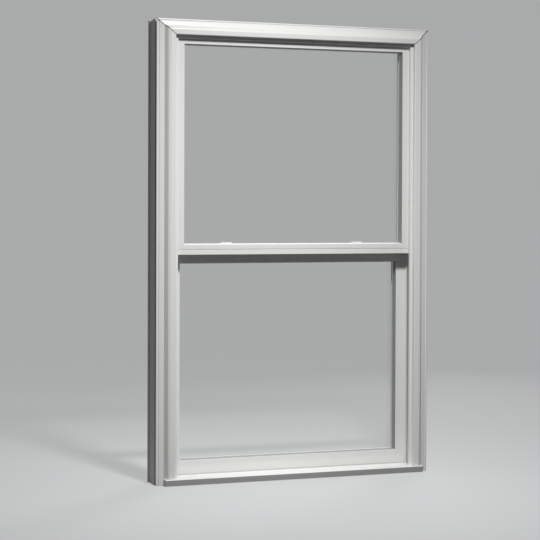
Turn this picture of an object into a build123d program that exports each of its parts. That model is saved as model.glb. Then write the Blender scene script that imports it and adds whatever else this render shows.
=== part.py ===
"""Double hung window, closed: a mitred frame on a sloped sill, two glazed sashes and their hardware.

Millimetres. X runs to the right as seen from outside, Y runs inwards, Z runs up.
The origin is at the bottom, in the middle of the width and of the whole depth.
"""

import os

from build123d import *

# Overall frame
WIDTH = 813.0
HEIGHT = 1270.0

# Exterior casing, as distances in from the outer side and forward of the flange
FLANGE_WIDTH = 20.5
FLANGE_RISE = 5.7
FLANGE_EDGE = 4.0
REED_PLACE = 5.4
REED_WIDTH = 4.0
REED_DEPTH = 2.2
SLOPE_RUN = 6.4
SLOPE_RISE = 9.1
CROWN_RUN = 8.0
CASING_WIDTH = 50.0
CASING_REACH = 19.0
NOSE_ROUND = 2.5
LIP_WIDTH = 9.4
LIP_REACH = 7.0
LIP_THICKNESS = 4.5
HEAD_CASING_HEIGHT = 44.0

# Frame section behind the casing
STEP_WALL = 2.0
TRACK_FLOOR = 34.0
FIN_TIP = 50.0
FIN_THICKNESS = 2.1
INNER_STOP_THICKNESS = 5.6
KERF_DEPTH = 10.0
KERF_WIDTH = 9.0
RELIEF_DEPTH = 1.5
RELIEF_MARGIN = 12.6
RELIEF_WIDTH = 32.0

# Balance pocket in the floor of each track
POCKET_WIDTH = 18.0
POCKET_DEPTH = 17.0
POCKET_PLACE = 4.5
MOUTH_WIDTH = 10.0
MOUTH_LIP = 3.0

# Sill
SILL_NOSE_REACH = 26.0
SILL_UNDERCUT = 7.0
SILL_NOSE_HEIGHT = 18.0
SILL_NOSE_ROUND = 1.0
SILL_SEAT_HEIGHT = 20.6
DAM_HEIGHT = 44.0

# Sashes
SASH_RECESS = 1.5
SASH_SPACING = 39.5
SASH_THICKNESS = 35.0
SASH_CLEARANCE = 1.0
SIDE_CLEARANCE = 2.5
SIGHT_EDGE = 79.4
REBATE = 10.4
GLAZING_LIP = 3.0
HEAD_CLEARANCE = 2.0
MEETING_PLACE = 628.0
MEETING_OVERLAP = 14.5
UPPER_TOP_RAIL = 34.7
UPPER_BOTTOM_RAIL = 27.8
LOWER_TOP_RAIL = 38.1
LOWER_BOTTOM_RAIL = 39.1
RAIL_GROOVE_PLACE = 13.9
RAIL_GROOVE_WIDTH = 1.6
RAIL_GROOVE_DEPTH = 1.4
INTERLOCK_HEIGHT = 8.0
INTERLOCK_DROP = 4.0
INTERLOCK_GAP = 0.5
LIFT_REACH = 12.0
LIFT_THICKNESS = 3.0
LIFT_DROP = 9.0
LIFT_ROUND = 1.2

# Glass units
PANE_THICKNESS = 3.0
PANE_EDGE_GAP = 2.0
SPACER_WIDTH = 7.5
SPACER_SETBACK = 0.5
BEAD_SLOPE = 2.6
GLASS_RECESS = 17.0

# Sash locks, keepers, tilt latches and balance shoes
LOCK_PLACE = 198.0
LOCK_LENGTH = 58.0
LOCK_WIDTH = 22.0
LOCK_BASE = 3.0
LOCK_HOUSING_LENGTH = 42.0
LOCK_HOUSING_WIDTH = 18.0
LOCK_HOUSING_HEIGHT = 10.5
LOCK_SETBACK = 2.0
LOCK_ROUND = 1.5
CAM_WIDTH = 16.0
CAM_HEIGHT = 3.0
LEVER_HEIGHT = 5.0
LEVER_HUB_RADIUS = 8.0
LEVER_LENGTH = 23.0
LEVER_TIP_RADIUS = 4.0
LEVER_ROUND = 1.2
KEEPER_LENGTH = 44.0
KEEPER_HEIGHT = 10.0
KEEPER_THICKNESS = 3.6
KEEPER_CLEARANCE = 0.4
LATCH_LENGTH = 62.0
LATCH_WIDTH = 17.0
LATCH_HEIGHT = 6.0
LATCH_ROUND = 2.0
LATCH_SETBACK = 4.0
LATCH_BOLT_WIDTH = 9.0
LATCH_BOLT_HEIGHT = 4.0
LATCH_BUTTON_LENGTH = 14.0
LATCH_BUTTON_HEIGHT = 2.5
SHOE_HEIGHT = 44.0
SHOE_CLEARANCE = 0.3
PIVOT_WIDTH = 8.0
PIVOT_HEIGHT = 5.0
PIVOT_GRIP = 30.0

# Installation screw holes through the jambs
SCREW_HOLE_RADIUS = 2.6
SCREW_HOLE_PLACE = 31.5
SCREW_HOLE_MARGIN = 135.0

# Worked out from the driving sizes
HALF_WIDTH = WIDTH / 2
SASH_BACK_REACH = SASH_RECESS + SASH_SPACING + SASH_THICKNESS + LIFT_REACH
FLANGE_Y = (SILL_NOSE_REACH - SASH_BACK_REACH) / 2
CASING_BACK_Y = FLANGE_Y + FLANGE_EDGE
UPPER_FACE_Y = FLANGE_Y + SASH_RECESS
UPPER_BACK_Y = UPPER_FACE_Y + SASH_THICKNESS
LOWER_FACE_Y = UPPER_FACE_Y + SASH_SPACING
LOWER_BACK_Y = LOWER_FACE_Y + SASH_THICKNESS
STOP_FRONT_Y = FLANGE_Y - LIP_THICKNESS
STOP_BACK_Y = UPPER_FACE_Y - SASH_CLEARANCE
FIN_FRONT_Y = (UPPER_BACK_Y + LOWER_FACE_Y - FIN_THICKNESS) / 2
FIN_BACK_Y = FIN_FRONT_Y + FIN_THICKNESS
INNER_STOP_Y = LOWER_BACK_Y + SASH_CLEARANCE
BACK_Y = INNER_STOP_Y + INNER_STOP_THICKNESS
STOP_TIP = CASING_WIDTH + LIP_WIDTH
STEP_PLACE = TRACK_FLOOR - STEP_WALL
SLOPE_END = FLANGE_WIDTH + SLOPE_RUN
SLOPE_TOP = FLANGE_RISE + SLOPE_RISE
CROWN_CORNER = SLOPE_END + (CASING_REACH - SLOPE_TOP) * SLOPE_RUN / SLOPE_RISE
NOSE_START = CASING_WIDTH - NOSE_ROUND
SASH_EDGE = TRACK_FLOOR + SIDE_CLEARANCE
REBATE_EDGE = SIGHT_EDGE - REBATE
SIGHT_HALF = HALF_WIDTH - SIGHT_EDGE
REBATE_HALF = HALF_WIDTH - REBATE_EDGE
SPACER_THICKNESS = SASH_THICKNESS - GLASS_RECESS - GLAZING_LIP - 2 * PANE_THICKNESS
HEAD_SHARE = HEAD_CASING_HEIGHT / CASING_WIDTH
UPPER_TOP = HEIGHT - HEAD_SHARE * TRACK_FLOOR - HEAD_CLEARANCE
UPPER_SIGHT_TOP = UPPER_TOP - UPPER_TOP_RAIL
UPPER_BOTTOM = MEETING_PLACE
UPPER_SIGHT_BOTTOM = UPPER_BOTTOM + UPPER_BOTTOM_RAIL
LOWER_TOP = MEETING_PLACE + MEETING_OVERLAP
LOWER_SIGHT_TOP = LOWER_TOP - LOWER_TOP_RAIL
LOWER_BOTTOM = SILL_SEAT_HEIGHT
LOWER_SIGHT_BOTTOM = LOWER_BOTTOM + LOWER_BOTTOM_RAIL

LEFT_SECTION = Plane(origin=(-HALF_WIDTH, 0, 0), x_dir=(1, 0, 0), z_dir=(0, 0, 1))
HEAD_SECTION = Plane(origin=(-HALF_WIDTH, 0, HEIGHT), x_dir=(0, 0, -1), z_dir=(1, 0, 0))
LEFT_MITRE = Plane(
    origin=(-HALF_WIDTH, 0, HEIGHT), x_dir=(0, 1, 0), z_dir=(HEAD_CASING_HEIGHT, 0, CASING_WIDTH)
)
RIGHT_MITRE = Plane(
    origin=(HALF_WIDTH, 0, HEIGHT), x_dir=(0, 1, 0), z_dir=(-HEAD_CASING_HEIGHT, 0, CASING_WIDTH)
)


def casing_run(section, share, length):
    """The moulded exterior casing along one side, square at both ends.

    The share narrows the section across its face, so that head and jamb still meet on one mitre.
    """

    def at(across, forward):
        return (across * share, FLANGE_Y - forward)

    rise_rate = FLANGE_RISE / FLANGE_WIDTH
    reed_start = REED_PLACE - REED_WIDTH / 2
    reed_end = REED_PLACE + REED_WIDTH / 2
    with BuildPart() as run:
        with BuildSketch(section):
            with BuildLine():
                Polyline(
                    at(STEP_PLACE, LIP_THICKNESS),
                    at(STEP_PLACE, -FLANGE_EDGE),
                    at(0, -FLANGE_EDGE),
                    at(0, 0),
                    at(reed_start, reed_start * rise_rate),
                    at(REED_PLACE, REED_PLACE * rise_rate - REED_DEPTH),
                    at(reed_end, reed_end * rise_rate),
                    at(FLANGE_WIDTH, FLANGE_RISE),
                    at(SLOPE_END, SLOPE_TOP),
                )
                Bezier(
                    at(SLOPE_END, SLOPE_TOP),
                    at(CROWN_CORNER, CASING_REACH),
                    at(SLOPE_END + CROWN_RUN, CASING_REACH),
                )
                Line(at(SLOPE_END + CROWN_RUN, CASING_REACH), at(NOSE_START, CASING_REACH))
                Bezier(
                    at(NOSE_START, CASING_REACH),
                    at(CASING_WIDTH, CASING_REACH),
                    at(CASING_WIDTH, CASING_REACH - NOSE_ROUND),
                )
                Polyline(
                    at(CASING_WIDTH, CASING_REACH - NOSE_ROUND),
                    at(CASING_WIDTH, LIP_REACH),
                    at(STOP_TIP, LIP_REACH),
                    at(STOP_TIP, LIP_THICKNESS),
                    at(STEP_PLACE, LIP_THICKNESS),
                )
            make_face()
        extrude(amount=length)
    return run


def frame_run(section, share, length):
    """The frame member behind the casing: outer wall, two sash tracks and three upstands."""

    def at(across, depth_y):
        return (across * share, depth_y)

    relief_back = BACK_Y - RELIEF_MARGIN
    relief_front = relief_back - RELIEF_WIDTH
    with BuildPart() as run:
        with BuildSketch(section):
            with BuildLine():
                Polyline(
                    at(STEP_PLACE, STOP_FRONT_Y),
                    at(STOP_TIP, STOP_FRONT_Y),
                    at(STOP_TIP, STOP_BACK_Y),
                    at(TRACK_FLOOR, STOP_BACK_Y),
                    at(TRACK_FLOOR, FIN_FRONT_Y),
                    at(FIN_TIP, FIN_FRONT_Y),
                    at(FIN_TIP, FIN_BACK_Y),
                    at(TRACK_FLOOR, FIN_BACK_Y),
                    at(TRACK_FLOOR, INNER_STOP_Y),
                    at(STOP_TIP, INNER_STOP_Y),
                    at(STOP_TIP, BACK_Y),
                    at(0, BACK_Y),
                    at(0, relief_back),
                    at(RELIEF_DEPTH, relief_back),
                    at(RELIEF_DEPTH, relief_front),
                    at(0, relief_front),
                    at(0, CASING_BACK_Y + KERF_WIDTH),
                    at(KERF_DEPTH, CASING_BACK_Y + KERF_WIDTH),
                    at(KERF_DEPTH, CASING_BACK_Y),
                    at(STEP_PLACE, CASING_BACK_Y),
                    close=True,
                )
            make_face()
        extrude(amount=length)
    return run


def sill():
    """The sloped sill: an undercut nose, a weathered top, a flat seat and an inner dam."""
    nose_y = FLANGE_Y - SILL_NOSE_REACH
    with BuildPart() as piece:
        with BuildSketch(Plane(origin=(0, 0, 0), x_dir=(0, 1, 0), z_dir=(1, 0, 0))):
            with BuildLine():
                Polyline(
                    (nose_y + SILL_UNDERCUT, 0),
                    (nose_y, SILL_NOSE_HEIGHT - SILL_NOSE_ROUND),
                    (nose_y + SILL_NOSE_ROUND, SILL_NOSE_HEIGHT),
                    (LOWER_FACE_Y, SILL_SEAT_HEIGHT),
                    (INNER_STOP_Y, SILL_SEAT_HEIGHT),
                    (INNER_STOP_Y, DAM_HEIGHT),
                    (BACK_Y, DAM_HEIGHT),
                    (BACK_Y, 0),
                    close=True,
                )
            make_face()
        extrude(amount=HALF_WIDTH - FLANGE_WIDTH, both=True)
        with BuildSketch(Plane.XY):
            for side in (-1, 1):
                with Locations((side * HALF_WIDTH, CASING_BACK_Y)):
                    Rectangle(2 * TRACK_FLOOR, BACK_Y - CASING_BACK_Y, align=(Align.CENTER, Align.MIN))
        extrude(amount=HEIGHT, mode=Mode.SUBTRACT)
    return piece


def jamb(sill_piece):
    """The left frame member, with its balance pockets and screw holes, scribed over the sill."""
    run = frame_run(LEFT_SECTION, 1, HEIGHT)
    with BuildPart() as piece:
        add(run.part)
        split(bisect_by=LEFT_MITRE, keep=Keep.BOTTOM)
        add(sill_piece.part, mode=Mode.SUBTRACT)
        with BuildSketch(LEFT_SECTION):
            for face_y in (UPPER_FACE_Y, LOWER_FACE_Y):
                pocket_y = face_y + POCKET_PLACE + POCKET_WIDTH / 2
                with Locations((TRACK_FLOOR - MOUTH_LIP, pocket_y)):
                    Rectangle(POCKET_DEPTH, POCKET_WIDTH, align=(Align.MAX, Align.CENTER))
                with Locations((TRACK_FLOOR, pocket_y)):
                    Rectangle(MOUTH_LIP, MOUTH_WIDTH, align=(Align.MAX, Align.CENTER))
        extrude(amount=HEIGHT, mode=Mode.SUBTRACT)
        hole_y = UPPER_FACE_Y + SCREW_HOLE_PLACE
        with BuildSketch(Plane(origin=(-HALF_WIDTH, 0, 0), x_dir=(0, 1, 0), z_dir=(1, 0, 0))):
            with Locations((hole_y, SCREW_HOLE_MARGIN), (hole_y, HEIGHT - SCREW_HOLE_MARGIN)):
                Circle(SCREW_HOLE_RADIUS)
        extrude(amount=TRACK_FLOOR, mode=Mode.SUBTRACT)
    return piece


def side_casing(sill_piece):
    """The left casing: its flange runs to the floor and its moulding ends on the sill nose."""
    run = casing_run(LEFT_SECTION, 1, HEIGHT)
    with BuildPart() as piece:
        add(run.part)
        split(bisect_by=LEFT_MITRE, keep=Keep.BOTTOM)
        add(sill_piece.part, mode=Mode.SUBTRACT)
        with BuildSketch(Plane.XY):
            with Locations((FLANGE_WIDTH - HALF_WIDTH, CASING_BACK_Y)):
                Rectangle(
                    STOP_TIP - FLANGE_WIDTH,
                    CASING_REACH + FLANGE_EDGE,
                    align=(Align.MIN, Align.MAX),
                )
        extrude(amount=SILL_NOSE_HEIGHT, mode=Mode.SUBTRACT)
    return piece


def head_piece(run):
    """A head member mitred at both ends."""
    with BuildPart() as piece:
        add(run.part)
        split(bisect_by=LEFT_MITRE, keep=Keep.TOP)
        split(bisect_by=RIGHT_MITRE, keep=Keep.TOP)
    return piece


def mirrored(source):
    """The right-hand twin of a left-hand piece."""
    with BuildPart() as piece:
        add(source.part)
        mirror(about=Plane.YZ, mode=Mode.REPLACE)
    return piece


def upright_box(x_range, y_range, z_range):
    """A plain block between three pairs of limits."""
    with BuildPart() as piece:
        with BuildSketch(Plane.XY.offset(z_range[0])):
            with Locations(((x_range[0] + x_range[1]) / 2, (y_range[0] + y_range[1]) / 2)):
                Rectangle(x_range[1] - x_range[0], y_range[1] - y_range[0])
        extrude(amount=z_range[1] - z_range[0])
    return piece


def glazing_pocket(face_y, sight_bottom, sight_top):
    """The space in a sash that takes the beads and the glass unit."""
    return upright_box(
        (-REBATE_HALF, REBATE_HALF),
        (face_y, face_y + SASH_THICKNESS - GLAZING_LIP),
        (sight_bottom - REBATE, sight_top + REBATE),
    )


def stile(face_y, bottom, top, pocket):
    """A left sash stile, rebated for the glass and slotted at its foot for the pivot bar."""
    block = upright_box(
        (SASH_EDGE - HALF_WIDTH, -SIGHT_HALF), (face_y, face_y + SASH_THICKNESS), (bottom, top)
    )
    pivot_y = face_y + POCKET_PLACE + POCKET_WIDTH / 2
    with BuildPart() as piece:
        add(block.part)
        add(pocket.part, mode=Mode.SUBTRACT)
        with BuildSketch(Plane.XY.offset(bottom)):
            with Locations((SASH_EDGE - HALF_WIDTH, pivot_y)):
                Rectangle(PIVOT_GRIP, PIVOT_WIDTH, align=(Align.MIN, Align.CENTER))
        extrude(amount=PIVOT_HEIGHT, mode=Mode.SUBTRACT)
    return piece


def rail(face_y, bottom, top, pocket):
    """A sash rail between the stiles, rebated for the glass."""
    block = upright_box((-SIGHT_HALF, SIGHT_HALF), (face_y, face_y + SASH_THICKNESS), (bottom, top))
    with BuildPart() as piece:
        add(block.part)
        add(pocket.part, mode=Mode.SUBTRACT)
    return piece


def drip_groove():
    """The groove that runs across the foot of the upper sash's outer face."""
    with BuildPart() as piece:
        with BuildSketch(Plane.YZ):
            with Locations((UPPER_FACE_Y, UPPER_BOTTOM + RAIL_GROOVE_PLACE)):
                Rectangle(2 * RAIL_GROOVE_DEPTH, RAIL_GROOVE_WIDTH)
        extrude(amount=HALF_WIDTH - SASH_EDGE, both=True)
    return piece


def grooved(source, groove):
    """A copy of a piece with the drip groove cut in it."""
    with BuildPart() as piece:
        add(source.part)
        add(groove.part, mode=Mode.SUBTRACT)
    return piece


def upper_meeting_rail(pocket):
    """The upper sash's bottom rail."""
    return rail(UPPER_FACE_Y, UPPER_BOTTOM, UPPER_SIGHT_BOTTOM, pocket)


def lower_meeting_rail(pocket):
    """The lower sash's top rail, with the interlock that closes the gap to the upper sash."""
    plain = rail(LOWER_FACE_Y, LOWER_SIGHT_TOP, LOWER_TOP, pocket)
    reach = SASH_SPACING - SASH_THICKNESS - INTERLOCK_GAP
    with BuildPart() as piece:
        add(plain.part)
        with BuildSketch(Plane.YZ.offset(-SIGHT_HALF)):
            with Locations((LOWER_FACE_Y, LOWER_TOP - INTERLOCK_DROP)):
                Rectangle(reach, INTERLOCK_HEIGHT, align=(Align.MAX, Align.MAX))
        extrude(amount=2 * SIGHT_HALF)
    return piece


def lower_bottom_rail(pocket):
    """The lower sash's bottom rail, with the lift rail along its inner face."""
    plain = rail(LOWER_FACE_Y, LOWER_BOTTOM, LOWER_SIGHT_BOTTOM, pocket)
    lift_top = LOWER_SIGHT_BOTTOM
    with BuildPart() as piece:
        add(plain.part)
        with BuildSketch(Plane.YZ.offset(-SIGHT_HALF)):
            with BuildLine():
                Polyline(
                    (LOWER_BACK_Y, lift_top),
                    (LOWER_BACK_Y + LIFT_REACH, lift_top),
                    (LOWER_BACK_Y + LIFT_REACH, lift_top - LIFT_DROP),
                    (LOWER_BACK_Y + LIFT_REACH - LIFT_THICKNESS, lift_top - LIFT_DROP),
                    (LOWER_BACK_Y + LIFT_REACH - LIFT_THICKNESS, lift_top - LIFT_THICKNESS),
                    (LOWER_BACK_Y, lift_top - LIFT_THICKNESS),
                    close=True,
                )
            make_face()
        extrude(amount=2 * SIGHT_HALF)
        lift_edges = piece.edges().filter_by(Axis.X).group_by(Axis.Y)[-1]
        fillet(lift_edges, LIFT_ROUND)
    return piece


def pane(front_y, sight_bottom, sight_top):
    """One sheet of a glass unit."""
    half = REBATE_HALF - PANE_EDGE_GAP
    low = sight_bottom - REBATE + PANE_EDGE_GAP
    high = sight_top + REBATE - PANE_EDGE_GAP
    return upright_box((-half, half), (front_y, front_y + PANE_THICKNESS), (low, high))


def spacer(front_y, sight_bottom, sight_top):
    """The bar round the edge of a glass unit that keeps its two sheets apart."""
    margin = PANE_EDGE_GAP + SPACER_SETBACK
    outer_width = 2 * (REBATE_HALF - margin)
    outer_height = sight_top - sight_bottom + 2 * (REBATE - margin)
    middle = (sight_bottom + sight_top) / 2
    with BuildPart() as piece:
        with BuildSketch(Plane(origin=(0, front_y, middle), x_dir=(1, 0, 0), z_dir=(0, 1, 0))):
            Rectangle(outer_width, outer_height)
            Rectangle(
                outer_width - 2 * SPACER_WIDTH, outer_height - 2 * SPACER_WIDTH, mode=Mode.SUBTRACT
            )
        extrude(amount=SPACER_THICKNESS)
    return piece


def bead(corner, inward, along, length):
    """A sloped glazing bead that starts at a pocket corner, mitred at both ends."""
    inward = Vector(*inward)
    along = Vector(*along)
    corner = Vector(*corner)
    depth = (0, 1, 0)
    section = Plane(origin=corner, x_dir=inward, z_dir=along)
    side = 1 if section.y_dir.Y > 0 else -1
    with BuildPart() as piece:
        with BuildSketch(section):
            with BuildLine():
                Polyline(
                    (0, 0),
                    (REBATE, 0),
                    (REBATE + BEAD_SLOPE, side * GLASS_RECESS),
                    (0, side * GLASS_RECESS),
                    close=True,
                )
            make_face()
        extrude(amount=length)
        split(bisect_by=Plane(origin=corner, x_dir=depth, z_dir=along - inward), keep=Keep.TOP)
        far_corner = corner + along * length
        split(bisect_by=Plane(origin=far_corner, x_dir=depth, z_dir=along + inward), keep=Keep.BOTTOM)
    return piece


def sash(name, face_y, bottom, top, sight_bottom, sight_top, top_rail, bottom_rail):
    """The pieces of one sash by node name, from the rails that differ between the two sashes."""
    pocket = glazing_pocket(face_y, sight_bottom, sight_top)
    left_stile = stile(face_y, bottom, top, pocket)
    outer_y = face_y + GLASS_RECESS
    spacer_y = outer_y + PANE_THICKNESS
    low = sight_bottom - REBATE
    high = sight_top + REBATE
    width = 2 * REBATE_HALF
    height = high - low
    left_bead = bead((-REBATE_HALF, face_y, low), (1, 0, 0), (0, 0, 1), height)
    return {
        f"{name}_top_rail": top_rail(pocket),
        f"{name}_bottom_rail": bottom_rail(pocket),
        f"{name}_left_stile": left_stile,
        f"{name}_right_stile": mirrored(left_stile),
        f"{name}_outer_pane": pane(outer_y, sight_bottom, sight_top),
        f"{name}_spacer": spacer(spacer_y, sight_bottom, sight_top),
        f"{name}_inner_pane": pane(spacer_y + SPACER_THICKNESS, sight_bottom, sight_top),
        f"{name}_left_bead": left_bead,
        f"{name}_right_bead": mirrored(left_bead),
        f"{name}_top_bead": bead((-REBATE_HALF, face_y, high), (0, 0, -1), (1, 0, 0), width),
        f"{name}_bottom_bead": bead((-REBATE_HALF, face_y, low), (0, 0, 1), (1, 0, 0), width),
    }


def lock_body():
    """The left sash lock's base and housing on the lower sash, with its cam turned to the keeper."""
    back_y = LOWER_FACE_Y + LOCK_SETBACK + LOCK_WIDTH
    centre_y = back_y - LOCK_WIDTH / 2
    cam_y = UPPER_BACK_Y + KEEPER_CLEARANCE
    cam_plane = Plane.XY.offset(LOWER_TOP + LOCK_BASE + (LOCK_HOUSING_HEIGHT - CAM_HEIGHT) / 2)
    with BuildPart() as piece:
        with BuildSketch(Plane.XY.offset(LOWER_TOP)):
            with Locations((-LOCK_PLACE, centre_y)):
                SlotOverall(LOCK_LENGTH, LOCK_WIDTH)
        extrude(amount=LOCK_BASE)
        with BuildSketch(Plane.XY.offset(LOWER_TOP + LOCK_BASE)):
            with Locations((-LOCK_PLACE, centre_y)):
                SlotOverall(LOCK_HOUSING_LENGTH, LOCK_HOUSING_WIDTH)
        extrude(amount=LOCK_HOUSING_HEIGHT)
        fillet(piece.faces().sort_by(Axis.Z)[-1].edges(), LOCK_ROUND)
        with BuildSketch(cam_plane):
            with Locations((-LOCK_PLACE, cam_y)):
                Rectangle(CAM_WIDTH, centre_y - cam_y, align=(Align.CENTER, Align.MIN))
        extrude(amount=CAM_HEIGHT)
    return piece


def lock_lever(place):
    """A lock's lever on top of its housing at the given X, turned along the rail."""
    centre_y = LOWER_FACE_Y + LOCK_SETBACK + LOCK_WIDTH / 2
    with BuildPart() as piece:
        with BuildSketch(Plane.XY.offset(LOWER_TOP + LOCK_BASE + LOCK_HOUSING_HEIGHT)):
            with BuildLine():
                Polyline(
                    (place, centre_y - LEVER_HUB_RADIUS),
                    (place + LEVER_LENGTH, centre_y - LEVER_TIP_RADIUS),
                    (place + LEVER_LENGTH, centre_y + LEVER_TIP_RADIUS),
                    (place, centre_y + LEVER_HUB_RADIUS),
                    close=True,
                )
            make_face()
            with Locations((place, centre_y)):
                Circle(LEVER_HUB_RADIUS)
            with Locations((place + LEVER_LENGTH, centre_y)):
                Circle(LEVER_TIP_RADIUS)
        extrude(amount=LEVER_HEIGHT)
        fillet(piece.faces().sort_by(Axis.Z)[-1].edges(), LEVER_ROUND)
    return piece


def lock_keeper():
    """The left keeper on the inner face of the upper meeting rail, slotted for the cam."""
    cam_z = LOWER_TOP + LOCK_BASE + (LOCK_HOUSING_HEIGHT - CAM_HEIGHT) / 2
    with BuildPart() as piece:
        with BuildSketch(Plane(origin=(-LOCK_PLACE, UPPER_BACK_Y, 0), x_dir=(1, 0, 0), z_dir=(0, 1, 0))):
            with Locations((0, -(cam_z + CAM_HEIGHT / 2))):
                RectangleRounded(KEEPER_LENGTH, KEEPER_HEIGHT, KEEPER_THICKNESS / 2)
                Rectangle(
                    CAM_WIDTH + 2 * KEEPER_CLEARANCE,
                    CAM_HEIGHT + 2 * KEEPER_CLEARANCE,
                    mode=Mode.SUBTRACT,
                )
        extrude(amount=KEEPER_THICKNESS)
    return piece


def tilt_latch():
    """The left tilt latch on top of the lower sash, with its bolt in the jamb track."""
    start_x = SASH_EDGE + LATCH_SETBACK - HALF_WIDTH
    middle_y = LOWER_FACE_Y + SASH_THICKNESS / 2
    with BuildPart() as piece:
        with BuildSketch(Plane.XY.offset(LOWER_TOP)):
            with Locations((start_x, middle_y)):
                Rectangle(LATCH_LENGTH, LATCH_WIDTH, align=(Align.MIN, Align.CENTER))
        extrude(amount=LATCH_HEIGHT)
        fillet(piece.edges().filter_by(Axis.Z), LATCH_ROUND)
        with BuildSketch(Plane.XY.offset(LOWER_TOP + LATCH_HEIGHT)):
            with Locations((start_x + LATCH_LENGTH / 2, middle_y)):
                SlotOverall(LATCH_BUTTON_LENGTH, LATCH_WIDTH / 2)
        extrude(amount=LATCH_BUTTON_HEIGHT)
        with BuildSketch(Plane.XY.offset(LOWER_TOP)):
            with Locations((start_x, middle_y)):
                Rectangle(
                    LATCH_SETBACK + SIDE_CLEARANCE - SHOE_CLEARANCE,
                    LATCH_BOLT_WIDTH,
                    align=(Align.MAX, Align.CENTER),
                )
        extrude(amount=LATCH_BOLT_HEIGHT)
    return piece


def balance_shoe(face_y, sash_bottom):
    """A left balance shoe in its pocket, with the pivot bar that carries the sash's foot."""
    pocket_y = face_y + POCKET_PLACE + POCKET_WIDTH / 2
    pocket_x = TRACK_FLOOR - MOUTH_LIP - HALF_WIDTH
    shoe_bottom = sash_bottom + (PIVOT_HEIGHT - SHOE_HEIGHT) / 2
    with BuildPart() as piece:
        with BuildSketch(Plane.XY.offset(max(shoe_bottom, 0))):
            with Locations((pocket_x - SHOE_CLEARANCE, pocket_y)):
                Rectangle(
                    POCKET_DEPTH - 2 * SHOE_CLEARANCE,
                    POCKET_WIDTH - 2 * SHOE_CLEARANCE,
                    align=(Align.MAX, Align.CENTER),
                )
        extrude(amount=SHOE_HEIGHT)
        with BuildSketch(Plane.XY.offset(sash_bottom)):
            with Locations((SASH_EDGE + PIVOT_GRIP - HALF_WIDTH, pocket_y)):
                Rectangle(
                    SASH_EDGE + PIVOT_GRIP - TRACK_FLOOR + MOUTH_LIP + 2 * SHOE_CLEARANCE,
                    PIVOT_WIDTH,
                    align=(Align.MAX, Align.CENTER),
                )
        extrude(amount=PIVOT_HEIGHT)
    return piece


def upper_top_rail(pocket):
    """The upper sash's top rail, plain."""
    return rail(UPPER_FACE_Y, UPPER_SIGHT_TOP, UPPER_TOP, pocket)


def window():
    """Every piece of the window by node name."""
    frame_sill = sill()
    left_jamb = jamb(frame_sill)
    left_casing = side_casing(frame_sill)
    left_pieces = {
        "jamb": left_jamb,
        "casing": left_casing,
        "lock_body": lock_body(),
        "lock_keeper": lock_keeper(),
        "tilt_latch": tilt_latch(),
        "upper_balance_shoe": balance_shoe(UPPER_FACE_Y, UPPER_BOTTOM),
        "lower_balance_shoe": balance_shoe(LOWER_FACE_Y, LOWER_BOTTOM),
    }
    pieces = {
        "frame_sill": frame_sill,
        "frame_head": head_piece(frame_run(HEAD_SECTION, HEAD_SHARE, WIDTH)),
        "head_casing": head_piece(casing_run(HEAD_SECTION, HEAD_SHARE, WIDTH)),
        "left_lock_lever": lock_lever(-LOCK_PLACE),
        "right_lock_lever": lock_lever(LOCK_PLACE),
    }
    for name, piece in left_pieces.items():
        pieces[f"left_{name}"] = piece
        pieces[f"right_{name}"] = mirrored(piece)
    pieces |= sash(
        "upper_sash", UPPER_FACE_Y, UPPER_BOTTOM, UPPER_TOP, UPPER_SIGHT_BOTTOM, UPPER_SIGHT_TOP,
        upper_top_rail, upper_meeting_rail,
    )
    groove = drip_groove()
    for name in ("bottom_rail", "left_stile", "right_stile"):
        node = f"upper_sash_{name}"
        pieces[node] = grooved(pieces[node], groove)
    pieces |= sash(
        "lower_sash", LOWER_FACE_Y, LOWER_BOTTOM, LOWER_TOP, LOWER_SIGHT_BOTTOM, LOWER_SIGHT_TOP,
        lower_meeting_rail, lower_bottom_rail,
    )
    return pieces


os.makedirs("parts", exist_ok=True)
for node, made in window().items():
    made.part.label = node
    export_step(made.part, f"parts/{node}.step")
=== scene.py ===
"""Looks of a white vinyl double hung window, seen from outside.

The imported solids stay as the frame, the sashes and their hardware. This script gives each of them its
finish and its rounded edges, and adds the small things that the solids leave out: the joint lines of
the mitred casing, the lower sash's sill wiper, and the screws. It works in metres, in the same frame as
the solids: X to the right from outside, Y inwards, Z up.
"""

from __future__ import annotations

import logging
import math
from dataclasses import dataclass
from enum import Enum
from typing import Iterable, Mapping, Sequence, Union

import bmesh
import bpy
from mathutils import Matrix, Vector

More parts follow.
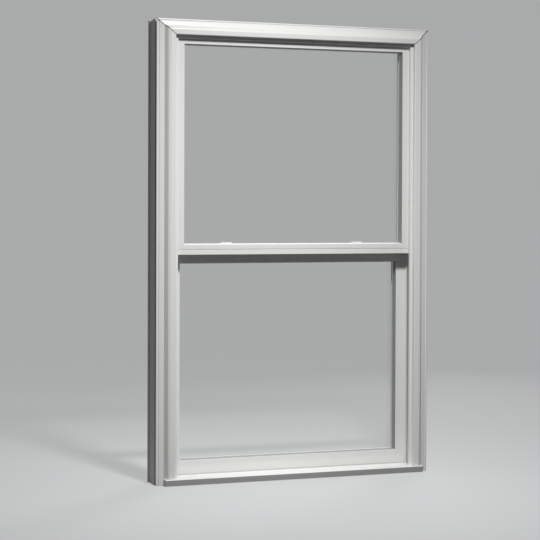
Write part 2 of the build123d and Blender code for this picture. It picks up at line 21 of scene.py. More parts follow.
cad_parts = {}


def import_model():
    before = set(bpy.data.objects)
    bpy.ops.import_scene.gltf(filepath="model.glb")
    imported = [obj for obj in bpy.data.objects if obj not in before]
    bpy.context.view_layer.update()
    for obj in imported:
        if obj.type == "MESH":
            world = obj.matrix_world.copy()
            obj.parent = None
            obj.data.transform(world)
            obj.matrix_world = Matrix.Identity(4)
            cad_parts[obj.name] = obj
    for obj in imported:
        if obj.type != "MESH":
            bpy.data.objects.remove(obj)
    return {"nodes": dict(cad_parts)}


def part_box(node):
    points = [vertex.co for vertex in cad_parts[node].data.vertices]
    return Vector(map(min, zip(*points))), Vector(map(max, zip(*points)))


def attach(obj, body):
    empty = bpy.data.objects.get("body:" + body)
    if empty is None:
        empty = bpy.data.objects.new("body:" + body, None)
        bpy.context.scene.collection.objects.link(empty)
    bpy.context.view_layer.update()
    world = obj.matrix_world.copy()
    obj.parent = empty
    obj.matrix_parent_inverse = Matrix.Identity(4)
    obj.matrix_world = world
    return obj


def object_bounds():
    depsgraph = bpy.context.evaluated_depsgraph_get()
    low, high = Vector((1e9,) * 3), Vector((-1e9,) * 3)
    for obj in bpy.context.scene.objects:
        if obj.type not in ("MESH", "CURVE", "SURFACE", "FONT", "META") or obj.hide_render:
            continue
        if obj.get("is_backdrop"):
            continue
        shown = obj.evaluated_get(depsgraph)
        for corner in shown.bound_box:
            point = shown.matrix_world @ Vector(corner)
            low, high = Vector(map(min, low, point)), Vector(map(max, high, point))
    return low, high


LOG = logging.getLogger("double_hung_window")
BODY = "root"

Colour = tuple[float, float, float]
Operand = Union["Value", float]


class Run(Enum):
    """The way a vinyl length was drawn through its die, as the stretch of its drawing lines."""

    UPRIGHT = (900.0, 900.0, 5.0)
    LEVEL = (5.0, 900.0, 900.0)


class Side(Enum):
    """A side of the window as seen from outside."""

    LEFT = -1
    RIGHT = 1


class Value:
    """A shader socket that takes part in Python expressions."""

    def __init__(self, graph: "Graph", socket: bpy.types.NodeSocket) -> None:
        """Keep the socket and the graph that it belongs to."""
        self.graph = graph
        self.socket = socket

    def _maths(self, operation: str, first: Operand, second: Operand) -> "Value":
        """One Math node.

        Args:
            operation: The Math node's operation.
            first: Its first operand.
            second: Its second operand.

        Returns:
            The node's result.
        """
        return self.graph.value("ShaderNodeMath", {"operation": operation}, {0: first, 1: second})

    def __add__(self, other: Operand) -> "Value":
        """Sum."""
        return self._maths("ADD", self, other)

    def __radd__(self, other: Operand) -> "Value":
        """Sum with a number on the left."""
        return self._maths("ADD", other, self)

    def __sub__(self, other: Operand) -> "Value":
        """Difference."""
        return self._maths("SUBTRACT", self, other)

    def __rsub__(self, other: Operand) -> "Value":
        """Difference from a number on the left."""
        return self._maths("SUBTRACT", other, self)

    def __mul__(self, other: Operand) -> "Value":
        """Product."""
        return self._maths("MULTIPLY", self, other)

    def __rmul__(self, other: Operand) -> "Value":
        """Product with a number on the left."""
        return self._maths("MULTIPLY", other, self)


class Graph:
    """The node tree of a material, or of the world around the window."""

    def __init__(self, name: str, owner: Union[bpy.types.World, None] = None) -> None:
        """Start an empty tree.

        Args:
            name: The new material's name.
            owner: The world that the tree belongs to, where it isn't a new material's.
        """
        self.owner = owner or bpy.data.materials.new(name)
        self.owner.use_nodes = True
        self.tree = self.owner.node_tree
        self.tree.nodes.clear()

    def node(
        self, kind: str, settings: Mapping[str, object], sockets: Mapping[Union[int, str], object]
    ) -> bpy.types.Node:
        """Add any node.

        Args:
            kind: The node's type.
            settings: Its properties, set first.
            sockets: Values or links of its inputs, by place or by name.

        Returns:
            The new node.
        """
        made = self.tree.nodes.new(kind)
        for key, setting in settings.items():
            setattr(made, key, setting)
        for key, given in sockets.items():
            socket = made.inputs[key]
            if isinstance(given, Value):
                self.tree.links.new(given.socket, socket)
            else:
                socket.default_value = given
        return made

    def value(
        self,
        kind: str,
        settings: Mapping[str, object],
        sockets: Mapping[Union[int, str], object],
        output: Union[int, str] = 0,
    ) -> Value:
        """Add any node and take one of its outputs.

        Args:
            kind: The node's type.
            settings: Its properties.
            sockets: Values or links of its inputs.
            output: The output's place or name.

        Returns:
            The output, ready for expressions.
        """
        return Value(self, self.node(kind, settings, sockets).outputs[output])

    def place(self, stretch: Sequence[float] = (1.0, 1.0, 1.0)) -> Value:
        """Where a point of the surface is, in metres times a stretch along each axis.

        Args:
            stretch: The factors along X, Y and Z.

        Returns:
            The stretched place.
        """
        here = self.value("ShaderNodeTexCoord", {}, {}, "Object")
        return self.value("ShaderNodeVectorMath", {"operation": "MULTIPLY"}, {0: here, 1: tuple(stretch)})

    def noise(self, place: Value, scale: float, detail: float = 2.0) -> Value:
        """Smooth noise from 0 to 1.

        Args:
            place: Where to read it.
            scale: Its features to the unit of place.
            detail: How many finer layers it has.

        Returns:
            The noise.
        """
        return self.value(
            "ShaderNodeTexNoise", {}, {"Vector": place, "Scale": scale, "Detail": detail}, "Fac"
        )

    def tint(self, share: Value, low: Union[Value, Colour], high: Union[Value, Colour]) -> Value:
        """A colour between two others.

        Args:
            share: 0 for the first colour and 1 for the second.
            low: The first colour.
            high: The second colour.

        Returns:
            The mixed colour.
        """
        first, second = (end if isinstance(end, Value) else (*end, 1.0) for end in (low, high))
        return self.value("ShaderNodeMix", {"data_type": "RGBA"}, {0: share, 6: first, 7: second}, 2)

    def relief(self, height: Value, strength: float, distance: float) -> Value:
        """A normal from a height.

        Args:
            height: The height, about 0 to 1.
            strength: How much of it shows.
            distance: The depth of a height of 1, in metres.

        Returns:
            The bumped normal.
        """
        return self.value(
            "ShaderNodeBump", {}, {"Strength": strength, "Distance": distance, "Height": height}, "Normal"
        )

    def looked_at(self) -> Value:
        """Where a ray comes from the camera, straight, mirrored or through glass.

        Returns:
            1 for such a ray and 0 for the light that falls on things.
        """
        path = self.node("ShaderNodeLightPath", {}, {})
        straight, mirrored, through = (
            Value(self, path.outputs[f"Is {kind} Ray"]) for kind in ("Camera", "Glossy", "Transmission")
        )
        return straight + mirrored + through

    def surface(self, sockets: Mapping[Union[int, str], object]) -> bpy.types.Material:
        """Close the tree with a Principled surface.

        Args:
            sockets: Values or links of the shader's inputs.

        Returns:
            The finished material.
        """
        shader = self.value("ShaderNodeBsdfPrincipled", {}, sockets, "BSDF")
        self.node("ShaderNodeOutputMaterial", {}, {"Surface": shader})
        return self.owner


@dataclass(frozen=True)
class VinylFinish:
    """Satin white vinyl with the faint lines of its die along each length."""

    name: str
    run: Run
    deep: Colour = (0.745, 0.748, 0.735)
    clean: Colour = (0.815, 0.815, 0.805)
    roughness: float = 0.36
    cloud_scale: float = 4.5
    grain_scale: float = 1600.0
    relief_depth: float = 0.00025

    def pattern(self, graph: Graph) -> tuple[Value, Value, Value]:
        """The pattern that every length of the vinyl has.

        Args:
            graph: The tree of the material that shows it.

        Returns:
            The die's lines, the faint clouds, and the white that they make.
        """
        lines = graph.noise(graph.place(self.run.value), 1.0, 3.0)
        clouds = graph.noise(graph.place(), self.cloud_scale, 3.0)
        white = graph.tint(0.25 + 0.45 * clouds + 0.3 * lines, self.deep, self.clean)
        return lines, clouds, white

    def make(self) -> bpy.types.Material:
        """Build the material.

        Returns:
            The new material.
        """
        graph = Graph(self.name)
        lines, clouds, tone = self.pattern(graph)
        grain = graph.noise(graph.place(), self.grain_scale, 1.0)
        rough = self.roughness - 0.07 + 0.09 * lines + 0.05 * clouds
        normal = graph.relief(0.75 * lines + 0.25 * grain, 0.16, self.relief_depth)
        return graph.surface({"Base Color": tone, "Roughness": rough, "Normal": normal})


@dataclass(frozen=True)
class BeadFinish:
    """White vinyl with a soft grey painted on where a glazing bead turns in to the glass: painted shade of
    the reveal beside the glass.
    """

    name: str
    vinyl: VinylFinish
    face_y: float
    painted_shade_deep: Colour = (0.27, 0.272, 0.27)
    painted_shade_clean: Colour = (0.33, 0.332, 0.33)
    painted_shade_start: float = 0.0008
    painted_shade_sharpness: float = 2500.0

    def make(self) -> bpy.types.Material:
        """Build the material.

        Returns:
            The new material.
        """
        graph = Graph(self.name)
        lines, clouds, white = self.vinyl.pattern(graph)
        # Painted shade: the bead's faces behind its front are painted grey, for the shade of the reveals
        # beside the glass.
        grey = graph.tint(0.5 * clouds + 0.5 * lines, self.painted_shade_deep, self.painted_shade_clean)
        depth = graph.value("ShaderNodeSeparateXYZ", {}, {0: graph.place()}, "Y")
        lip = graph.value(
            "ShaderNodeClamp", {}, {0: (depth - (self.face_y + self.painted_shade_start)) * self.painted_shade_sharpness}
        )
        return graph.surface(
            {
                "Base Color": graph.tint(lip, white, grey),
                "Roughness": self.vinyl.roughness + 0.16 * lip + 0.05 * clouds,
                "Normal": graph.relief(lines, 0.16, self.vinyl.relief_depth),
            }
        )


@dataclass(frozen=True)
class GlassFinish:
    """Clear float glass: what it doesn't reflect goes straight through."""

    name: str
    shine: Colour = (0.90, 0.96, 0.94)
    straight_share: float = 0.04
    film: float = 0.012
    film_scale: float = 3.0
    wave_scale: float = 1.3
    wave_depth: float = 0.002

    def make(self) -> bpy.types.Material:
        """Build the material.

        Returns:
            The new material.
        """
        graph = Graph(self.name)
        here = graph.place()
        aslant = graph.value("ShaderNodeLayerWeight", {}, {"Blend": 0.5}, "Facing")
        squared = aslant * aslant
        mirror = self.straight_share + (1.0 - self.straight_share) * (squared * squared * aslant)
        film = graph.noise(here, self.film_scale, 4.0)
        waves = graph.noise(here, self.wave_scale, 1.0)
        return graph.surface(
            {
                "Base Color": (*self.shine, 1.0),
                "Metallic": 1.0,
                "Roughness": 0.012 + 0.01 * film,
                "Alpha": mirror + self.film * film,
                "Normal": graph.relief(waves, 0.02, self.wave_depth),
            }
        )


@dataclass(frozen=True)
class MetalFinish:
    """Bare metal with fine drawn lines."""

    name: str
    dark: Colour
    light: Colour
    roughness: float
    line_scale: float = 1500.0
    bloom_scale: float = 180.0
    line_depth: float = 0.0001

    def make(self) -> bpy.types.Material:
        """Build the material.

        Returns:
            The new material.
        """
        graph = Graph(self.name)
        lines = graph.noise(graph.place((self.line_scale,) * 3), 1.0, 2.0)
        blooms = graph.noise(graph.place(), self.bloom_scale, 2.0)
        tone = graph.tint(0.5 * lines + 0.5 * blooms, self.dark, self.light)
        rough = self.roughness - 0.08 + 0.16 * blooms
        return graph.surface(
            {
                "Base Color": tone,
                "Metallic": 1.0,
                "Roughness": rough,
                "Normal": graph.relief(lines, 0.15, self.line_depth),
            }
        )


@dataclass(frozen=True)
class CoatedFinish:
    """A painted or moulded surface with a fine grain."""

    name: str
    deep: Colour
    clean: Colour
    roughness: float
    coat: float
    grain_scale: float
    cloud_scale: float = 60.0
    coat_roughness: float = 0.12
    grain_depth: float = 0.00015

    def make(self) -> bpy.types.Material:
        """Build the material.

        Returns:
            The new material.
        """
        graph = Graph(self.name)
        here = graph.place()
        clouds = graph.noise(here, self.cloud_scale, 3.0)
        grain = graph.noise(here, self.grain_scale, 2.0)
        return graph.surface(
            {
                "Base Color": graph.tint(clouds, self.deep, self.clean),
                "Roughness": self.roughness - 0.05 + 0.1 * grain,
                "Coat Weight": self.coat,
                "Coat Roughness": self.coat_roughness,
                "Normal": graph.relief(grain, 0.2, self.grain_depth),
            }
        )


@dataclass(frozen=True)
class FloorFinish:
    """A plain pale floor: pale to look at, and dim in the light that it throws back up."""

    name: str
    pale: Colour = (0.74, 0.745, 0.75)
    dim: Colour = (0.10, 0.10, 0.10)
    glow: Colour = (0.568, 0.573, 0.579)
    glow_share: float = 0.68

    def make(self) -> bpy.types.Material:
        """Build the material.

        Returns:
            The new material.
        """
        graph = Graph(self.name)
        lit = graph.value("ShaderNodeBsdfDiffuse", {}, {"Color": (*self.pale, 1.0)})
        own = graph.value("ShaderNodeEmission", {}, {"Color": (*self.glow, 1.0)})
        seen = graph.value("ShaderNodeMixShader", {}, {0: self.glow_share, 1: lit, 2: own})
        unseen = graph.value("ShaderNodeBsdfDiffuse", {}, {"Color": (*self.dim, 1.0)})
        shown = graph.value("ShaderNodeMixShader", {}, {0: graph.looked_at(), 1: unseen, 2: seen})
        graph.node("ShaderNodeOutputMaterial", {}, {"Surface": shown})
        return graph.owner


@dataclass(frozen=True)
class Palette:
    """The materials of the window, made once."""

    upright_vinyl: bpy.types.Material
    level_vinyl: bpy.types.Material
    beads: Mapping[tuple[str, Run], bpy.types.Material]
    glass: bpy.types.Material
    spacer: bpy.types.Material
    enamel: bpy.types.Material
    nylon: bpy.types.Material
    steel: bpy.types.Material
    joint: bpy.types.Material
    wiper: bpy.types.Material

    @classmethod
    def make(cls) -> "Palette":
        """Build every material.

        Returns:
            The materials by their use.
        """
        vinyls = {run: VinylFinish(f"{run.name.lower()}_white_vinyl", run) for run in Run}
        beads = {
            (sash, run): BeadFinish(
                f"{sash}_{run.name.lower()}_bead_vinyl", vinyl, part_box(f"{sash}_sash_left_bead")[0].y
            ).make()
            for sash in ("upper", "lower")
            for run, vinyl in vinyls.items()
        }
        return cls(
            upright_vinyl=vinyls[Run.UPRIGHT].make(),
            level_vinyl=vinyls[Run.LEVEL].make(),
            beads=beads,
            glass=GlassFinish("clear_glass").make(),
            spacer=MetalFinish("spacer_aluminium", (0.50, 0.51, 0.52), (0.66, 0.67, 0.68), 0.42).make(),
            enamel=CoatedFinish(
                "white_enamel", (0.76, 0.76, 0.75), (0.83, 0.83, 0.82), 0.28, 0.35, 900.0
            ).make(),
            nylon=CoatedFinish(
                "white_nylon", (0.68, 0.68, 0.66), (0.76, 0.76, 0.74), 0.5, 0.0, 1400.0
            ).make(),
            steel=MetalFinish("zinc_steel", (0.46, 0.46, 0.45), (0.66, 0.66, 0.65), 0.34).make(),
            joint=CoatedFinish(
                "mitre_joint_filler", (0.035, 0.036, 0.036), (0.06, 0.06, 0.06), 0.6, 0.0, 700.0
            ).make(),
            # The wiper is a real part; its grey is painted shade at the foot of the lower sash, where the
            # rail meets the sill.
            wiper=CoatedFinish(
                "wiper_grey_painted_shade", (0.40, 0.40, 0.395), (0.48, 0.48, 0.475), 0.55, 0.0, 900.0
            ).make(),
        )


def add_piece(
    name: str, mesh: bmesh.types.BMesh, material: bpy.types.Material
) -> bpy.types.Object:
    """Turn a mesh into a piece that rides on the window.

    Args:
        name: The piece's name.
        mesh: Its faces, which this call frees.
        material: Its finish.

    Returns:
        The new piece.
    """
    bmesh.ops.recalc_face_normals(mesh, faces=mesh.faces)
    data = bpy.data.meshes.new(name)
    mesh.to_mesh(data)
    mesh.free()
    data.materials.append(material)
    piece = bpy.data.objects.new(name, data)
    bpy.context.scene.collection.objects.link(piece)
    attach(piece, BODY)
    LOG.info("added %s, %d faces", name, len(data.polygons))
    return piece


def curve_point(controls: Sequence[Vector], share: float) -> Vector:
    """A point of a Bezier curve.

    Args:
        controls: The curve's control points.
        share: 0 at its start and 1 at its end.

    Returns:
        The point.
    """
    level = list(controls)
    while len(level) > 1:
        level = [a.lerp(b, share) for a, b in zip(level, level[1:])]
    return level[0]


@dataclass
class CarriedSolids:
    """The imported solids: their finishes and the width of their rounded edges."""

    nodes: Mapping[str, bpy.types.Object]
    palette: Palette
    plain_bead: str = "upper_sash_bottom_bead"
    merge: float = 0.00001
    flat_angle: float = math.radians(0.4)
    edge_angle: float = math.radians(56.0)
    casing_edge: float = 0.00035
    frame_edge: float = 0.0005
    sash_edge: float = 0.0005
    hardware_edge: float = 0.0006

    def finish_of(self, name: str) -> tuple[bpy.types.Material, float]:
        """The finish of one solid.

        Args:
            name: The solid's name.

        Returns:
            Its material and the width of its rounded edges, 0 for none.
        """
        upright = name.endswith(
            ("_stile", "left_bead", "right_bead", "_jamb", "left_casing", "right_casing")
        )
        vinyl = self.palette.upright_vinyl if upright else self.palette.level_vinyl
        if name.endswith("_pane"):
            return self.palette.glass, 0.0
        if name.endswith("_bead") and name != self.plain_bead:
            sash = name.split("_")[0]
            return self.palette.beads[sash, Run.UPRIGHT if upright else Run.LEVEL], self.sash_edge
        if name.endswith("_spacer"):
            return self.palette.spacer, 0.0
        if "_lock_" in name:
            return self.palette.enamel, self.hardware_edge
        if name.endswith(("_latch", "_shoe")):
            return self.palette.nylon, self.hardware_edge
        if name.endswith("casing"):
            return vinyl, self.casing_edge
        if name.endswith(("_jamb", "_head", "_sill")):
            return vinyl, self.frame_edge
        return vinyl, self.sash_edge

    def round_edges(self, solid: bpy.types.Object, width: float) -> None:
        """Round a solid's sharp edges with modifiers.

        Args:
            solid: The solid.
            width: The width of the rounding.
        """
        weld = solid.modifiers.new("joined", "WELD")
        weld.merge_threshold = self.merge
        flat = solid.modifiers.new("flat_faces", "DECIMATE")
        flat.decimate_type = "DISSOLVE"
        flat.angle_limit = self.flat_angle
        bevel = solid.modifiers.new("rounded_edges", "BEVEL")
        bevel.limit_method = "ANGLE"
        bevel.angle_limit = self.edge_angle
        bevel.width = width
        bevel.segments = 2
        bevel.use_clamp_overlap = False
        bevel.harden_normals = True

    def dress(self) -> None:
        """Give every solid its finish and its rounded edges."""
        for name, solid in self.nodes.items():
            material, width = self.finish_of(name)
            solid.data.materials.clear()
            solid.data.materials.append(material)
            # What is seen and lit through two panes meets more clear faces than the renderer counts, and
            # would turn dark, so the panes throw no shadow.
            solid.visible_shadow = material is not self.palette.glass
            if width > 0:
                self.round_edges(solid, width)
            LOG.info("dressed %s in %s", name, material.name)


@dataclass
class CasingMitre:
    """The joint line where a side casing meets the head casing."""

    half_width: float
    height: float
    casing_back: float
    head_share: float = 0.88
    flange_edge: float = 0.004
    flange_width: float = 0.0205
    flange_rise: float = 0.0057
    slope_end: tuple[float, float] = (0.0269, 0.0148)
    crown_corner: float = 0.02985
    crown_end: float = 0.0349
    casing_width: float = 0.050
    casing_reach: float = 0.0190
    nose_round: float = 0.0025
    lip_tip: float = 0.0594
    lip_reach: float = 0.007
    end_gap: float = 0.0005
    line_half: float = 0.0009
    proud: float = 0.00012
    buried: float = 0.0008
    steps: int = 14

    def profile(self) -> list[Vector]:
        """The casing's section as points across its face and forward of the flange.

        Returns:
            The points from the outer edge to the lip's tip.
        """
        crown = (
            Vector(self.slope_end),
            Vector((self.crown_corner, self.casing_reach)),
            Vector((self.crown_end, self.casing_reach)),
        )
        nose = Vector((self.casing_width - self.nose_round, self.casing_reach))
        turn = (
            nose,
            Vector((self.casing_width, nose.y)),
            Vector((self.casing_width, nose.y - self.nose_round)),
        )
        points = [
            Vector((self.end_gap, 0.0)),
            Vector((self.flange_width / 2, self.flange_rise / 2)),
            Vector((self.flange_width, self.flange_rise)),
        ]
        for curve in (crown, turn):
            points += [curve_point(curve, step / self.steps) for step in range(self.steps)]
        points += [
            Vector((self.casing_width, nose.y - self.nose_round)),
            Vector((self.casing_width, self.lip_reach)),
            Vector((self.lip_tip - self.end_gap, self.lip_reach)),
        ]
        return points

    def build(self, side: Side, material: bpy.types.Material) -> bpy.types.Object:
        """Lay the joint line along one mitre.

        Args:
            side: The corner's side.
            material: The filler's finish.

        Returns:
            The piece.
        """
        lean = Vector((-side.value, 0.0, -self.head_share))
        along = lean.normalized()
        across = along.cross(Vector((0.0, 1.0, 0.0)))
        flange_y = self.casing_back - self.flange_edge
        corner = Vector((side.value * self.half_width, flange_y, self.height))
        flat = [Vector((p.x * lean.length, p.y)) for p in self.profile()]
        mesh = bmesh.new()
        rings = []
        for index, point in enumerate(flat):
            ahead = flat[min(index + 1, len(flat) - 1)]
            behind = flat[max(index - 1, 0)]
            way = (ahead - behind).normalized()
            out = along * -way.y + Vector((0.0, -way.x, 0.0))
            middle = corner + along * point.x + Vector((0.0, -point.y, 0.0))
            rings.append(
                [
                    mesh.verts.new(middle + across * wide + out * lift)
                    for wide, lift in (
                        (-self.line_half, self.proud),
                        (self.line_half, self.proud),
                        (self.line_half, -self.buried),
                        (-self.line_half, -self.buried),
                    )
                ]
            )
        for near, far in zip(rings, rings[1:]):
            for corner_index in range(4):
                following = (corner_index + 1) % 4
                mesh.faces.new((near[corner_index], near[following], far[following], far[corner_index]))
        mesh.faces.new(rings[0])
        mesh.faces.new(rings[-1])
        return add_piece(f"{side.name.lower()}_mitre_joint", mesh, material)


@dataclass
class SillWiper:
    """The flexible wiper along the foot of the lower sash, which closes on the sill."""

    half_width: float
    fin_tip: float = 0.0505
    height: float = 0.0024
    reach: float = 0.009
    sag: float = 0.3
    sill_fall: float = 0.04
    buried: float = 0.0003
    steps: int = 8

    def section(self) -> list[Vector]:
        """The wiper's section, as points forward of the sash's face and above its foot.

        Returns:
            The points from the face, down the front to the tip and back along the sill.
        """
        sweep = (
            Vector((-self.buried, self.height)),
            Vector((self.sag * self.reach, self.sag * self.height)),
            Vector((self.reach, -self.sill_fall * self.reach - self.buried)),
        )
        front = [curve_point(sweep, step / self.steps) for step in range(self.steps + 1)]
        return [*front, Vector((-self.buried, -self.buried))]

    def build(self, material: bpy.types.Material) -> bpy.types.Object:
        """Draw the section along the sash, from one jamb's fin to the other's.

        Args:
            material: The wiper's finish.

        Returns:
            The piece.
        """
        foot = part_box("lower_sash_bottom_rail")[0]
        end = self.half_width - self.fin_tip
        section = self.section()
        mesh = bmesh.new()
        left, right = (
            [mesh.verts.new((x, foot.y - point.x, foot.z + point.y)) for point in section]
            for x in (-end, end)
        )
        for index in range(len(section)):
            following = (index + 1) % len(section)
            mesh.faces.new((left[index], left[following], right[following], right[index]))
        mesh.faces.new(left)
        mesh.faces.new(right)
        return add_piece("lower_sash_sill_wiper", mesh, material)


@dataclass(frozen=True)
class PanScrew:
    """A pan head screw with a cross recess; only the head shows."""

    radius: float
    head: float
    recess_long: float = 0.62
    recess_wide: float = 0.17
    recess_depth: float = 0.55
    recess_taper: float = 0.7
    sides: int = 28

    def mesh(self) -> bmesh.types.BMesh:
        """The head's mesh, standing on the plane Z = 0.

        Returns:
            A new mesh.
        """
        made = bmesh.new()
        profile = ((1.0, 0.0), (1.0, 0.35), (0.93, 0.68), (0.8, 0.9), (0.68, 1.0))
        rings = []
        for wide, high in profile:
            rings.append(
                [
                    made.verts.new(
                        (
                            wide * self.radius * math.cos(2 * math.pi * turn / self.sides),
                            wide * self.radius * math.sin(2 * math.pi * turn / self.sides),
                            high * self.head,
                        )
                    )
                    for turn in range(self.sides)
                ]
            )
        for lower, upper in zip(rings, rings[1:]):
            for turn in range(self.sides):
                following = (turn + 1) % self.sides
                made.faces.new((lower[turn], lower[following], upper[following], upper[turn]))
        made.faces.new(rings[0])
        self.cut_recess(made, rings[-1])
        return made

    def cut_recess(self, made: bmesh.types.BMesh, rim: Sequence[bmesh.types.BMVert]) -> None:
        """Close the head's top around a cross recess.

        Args:
            made: The head's mesh.
            rim: The open ring at its top.
        """
        long = self.recess_long * self.radius
        wide = self.recess_wide * self.radius
        quarter = ((long, wide), (wide, wide), (wide, long))
        corners = []
        for turn in range(4):
            spin = Matrix.Rotation(turn * math.pi / 2, 2)
            corners += [spin @ Vector(point) for point in quarter]
        top = [made.verts.new((*corner, self.head)) for corner in corners]
        foot = self.head * (1 - self.recess_depth)
        floor = [made.verts.new((*(self.recess_taper * corner), foot)) for corner in corners]
        loops = []
        for ring in (rim, top):
            for start, end in zip(ring, [*ring[1:], ring[0]]):
                loops.append(made.edges.get((start, end)) or made.edges.new((start, end)))
        bmesh.ops.triangle_fill(made, use_beauty=True, edges=loops)
        for index in range(len(top)):
            following = (index + 1) % len(top)
            made.faces.new((top[index], top[following], floor[following], floor[index]))
        made.faces.new(floor)

    def drive(
        self,
        name: str,
        place: Vector,
        outward: Vector,
        spin: float,
        material: bpy.types.Material,
        slot: str,
    ) -> bpy.types.Object:
        """Set one screw into a surface.

        Args:
            name: The piece's name.
            place: The middle of the head's seat.
            outward: The way that the head faces.
            spin: How far its recess is turned, in degrees.
            material: Its finish.
            slot: Not used.

        Returns:
            The piece.
        """
        head = self.mesh()
        turn = outward.to_track_quat("Z", "Y").to_matrix().to_4x4()
        head.transform(Matrix.Translation(place) @ turn @ Matrix.Rotation(math.radians(spin), 4, "Z"))
        return add_piece(name, head, material)


@dataclass
class FrameScrews:
    """The screws that fix the jambs to the wall, in the floor of the outer tracks."""

    half_width: float
    height: float
    track_floor: float = 0.034
    place_y: float = 0.002
    end_margin: float = 0.135
    screw: PanScrew = PanScrew(0.0042, 0.0017)

    def build(self, material: bpy.types.Material) -> None:
        """Drive the four screws.

        Args:
            material: Their finish.
        """
        for side in Side:
            for name, height, spin in (
                ("low", self.end_margin, 18.0),
                ("high", self.height - self.end_margin, 52.0),
            ):
                place = Vector((side.value * (self.half_width - self.track_floor), self.place_y, height))
                outward = Vector((-side.value, 0.0, 0.0))
                self.screw.drive(
                    f"{side.name.lower()}_jamb_screw_{name}", place, outward, spin, material, "spacer_metal"
                )


@dataclass
class LockScrews:
    """The screws that hold the sash locks and their keepers."""

    base_height: float = 0.003
    base_inset: float = 0.0042
    keeper_inset: float = 0.0052
    base_screw: PanScrew = PanScrew(0.0029, 0.0012)
    keeper_screw: PanScrew = PanScrew(0.0030, 0.0006)

    def build(self, material: bpy.types.Material) -> None:
        """Drive two screws in each lock's base and two in each keeper.

        Args:
            material: Their finish.
        """
        for side in Side:
            hand = side.name.lower()
            low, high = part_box(f"{hand}_lock_body")
            keeper_low, keeper_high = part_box(f"{hand}_lock_keeper")
            lever_low, lever_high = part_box(f"{hand}_lock_lever")
            base_y = (lever_low.y + lever_high.y) / 2
            keeper_z = (keeper_low.z + keeper_high.z) / 2
            for name, base_x, keeper_x, spin in (
                ("a", low.x + self.base_inset, keeper_low.x + self.keeper_inset, 25.0),
                ("b", high.x - self.base_inset, keeper_high.x - self.keeper_inset, 70.0),
            ):
                base = Vector((base_x, base_y, low.z + self.base_height))
                self.base_screw.drive(
                    f"{hand}_lock_screw_{name}", base, Vector((0, 0, 1)), spin, material, "white_hardware"
                )
                seat = Vector((keeper_x, keeper_high.y, keeper_z))
                self.keeper_screw.drive(
                    f"{hand}_keeper_screw_{name}", seat, Vector((0, 1, 0)), spin, material, "white_hardware"
                )


@dataclass(frozen=True)
class Lamp:
    """A round lamp that lights the window and isn't seen itself."""

    name: str
    place: tuple[float, float, float]
    aim: tuple[float, float, float]
    size: float
    spread: float
    power: float
    mirrored: bool

    def hang(self) -> None:
        """Hang the lamp at its place and turn it to its aim."""
        data = bpy.data.lights.new(self.name, "AREA")
        data.shape = "DISK"
        data.size = self.size
        data.spread = math.radians(self.spread)
        data.energy = self.power
        lamp = bpy.data.objects.new(self.name, data)
        lamp.location = self.place
        way = Vector(self.aim) - Vector(self.place)
        lamp.rotation_euler = way.to_track_quat("-Z", "Y").to_euler()
        lamp.visible_camera = False
        lamp.visible_glossy = self.mirrored
        bpy.context.scene.collection.objects.link(lamp)


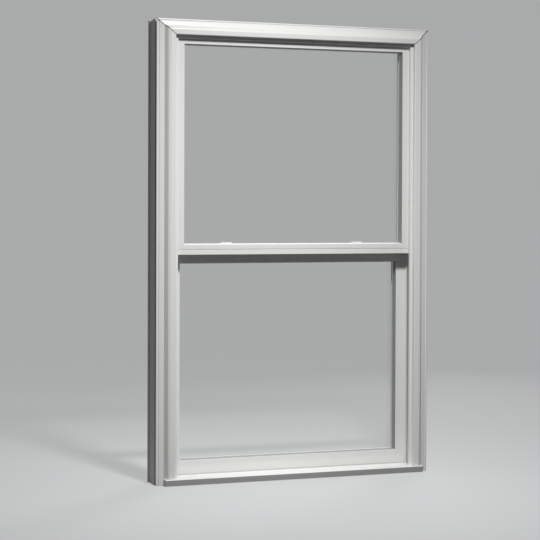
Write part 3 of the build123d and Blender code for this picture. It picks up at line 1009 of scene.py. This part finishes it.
@dataclass
class Studio:
    """A pale floor, a key lamp above the front, a soft lamp behind, an even fill and the camera."""

    floor_reach: float = 60.0
    floor_sides: int = 96
    fill: float = 0.07
    fill_tint: Colour = (0.99, 1.0, 1.0)
    far: Colour = (0.40, 0.404, 0.408)
    key: Lamp = Lamp("key", (-0.18, -1.50, 2.38), (-0.07, -0.03, 0.10), 0.32, 68.0, 10.0, True)
    behind: Lamp = Lamp("behind", (2.30, 2.90, 1.20), (0.0, 0.0, 0.65), 1.60, 60.0, 16.0, False)
    eye: tuple[float, float, float] = (-1.6868, -4.3259, 0.7565)
    yaw: float = 20.54
    pitch: float = 0.85
    roll: float = 0.19
    lens: float = 110.0
    sensor: float = 36.0
    far_clip: float = 200.0
    horizon_row: float = 61.98
    picture_rows: float = 540.0

    def lay_floor(self) -> None:
        """Lay the floor as a wide disc."""
        mesh = bmesh.new()
        bmesh.ops.create_circle(
            mesh, cap_ends=True, segments=self.floor_sides, radius=self.floor_reach
        )
        data = bpy.data.meshes.new("floor")
        mesh.to_mesh(data)
        mesh.free()
        data.materials.append(FloorFinish("pale_floor").make())
        floor = bpy.data.objects.new("floor", data)
        bpy.context.scene.collection.objects.link(floor)
        floor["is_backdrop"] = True

    def light(self) -> None:
        """Hang the lamps and set the even fill."""
        self.key.hang()
        self.behind.hang()
        sky = Graph("studio", bpy.data.worlds.new("studio"))
        bpy.context.scene.world = sky.owner
        even = sky.value(
            "ShaderNodeBackground", {}, {"Color": (*self.fill_tint, 1.0), "Strength": self.fill}
        )
        shown = sky.value("ShaderNodeBackground", {}, {"Color": (*self.far, 1.0), "Strength": 1.0})
        both = sky.value("ShaderNodeMixShader", {}, {0: sky.looked_at(), 1: even, 2: shown})
        sky.node("ShaderNodeOutputWorld", {}, {"Surface": both})

    def aim_camera(self) -> None:
        """Stand the camera where the window was seen from."""
        data = bpy.data.cameras.new("camera")
        data.lens = self.lens
        data.sensor_width = self.sensor
        data.clip_end = self.far_clip
        lift = math.tan(math.radians(self.pitch)) * self.lens / self.sensor
        data.shift_y = lift - self.horizon_row / self.picture_rows
        camera = bpy.data.objects.new("camera", data)
        turn = Matrix.Rotation(math.radians(-self.yaw), 4, "Z")
        tilt = Matrix.Rotation(math.radians(90.0 - self.pitch), 4, "X")
        roll = Matrix.Rotation(math.radians(self.roll), 4, "Z")
        camera.matrix_world = Matrix.Translation(self.eye) @ turn @ tilt @ roll
        bpy.context.scene.collection.objects.link(camera)
        bpy.context.scene.camera = camera
        bpy.context.scene.view_settings.view_transform = "Standard"

    def build(self) -> None:
        """Set up floor, light and camera."""
        self.lay_floor()
        self.light()
        self.aim_camera()


def main() -> None:
    """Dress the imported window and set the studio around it."""
    logging.basicConfig(level=logging.INFO, format="%(name)s: %(message)s")
    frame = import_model()
    solid_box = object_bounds()
    half_width, _, height = solid_box[1]
    palette = Palette.make()
    CarriedSolids(frame["nodes"], palette).dress()
    mitre = CasingMitre(half_width, height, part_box("head_casing")[1].y)
    for side in Side:
        mitre.build(side, palette.joint)
    SillWiper(half_width).build(palette.wiper)
    FrameScrews(half_width, height).build(palette.steel)
    LockScrews().build(palette.enamel)
    Studio().build()


if __name__ == "__main__":
    main()
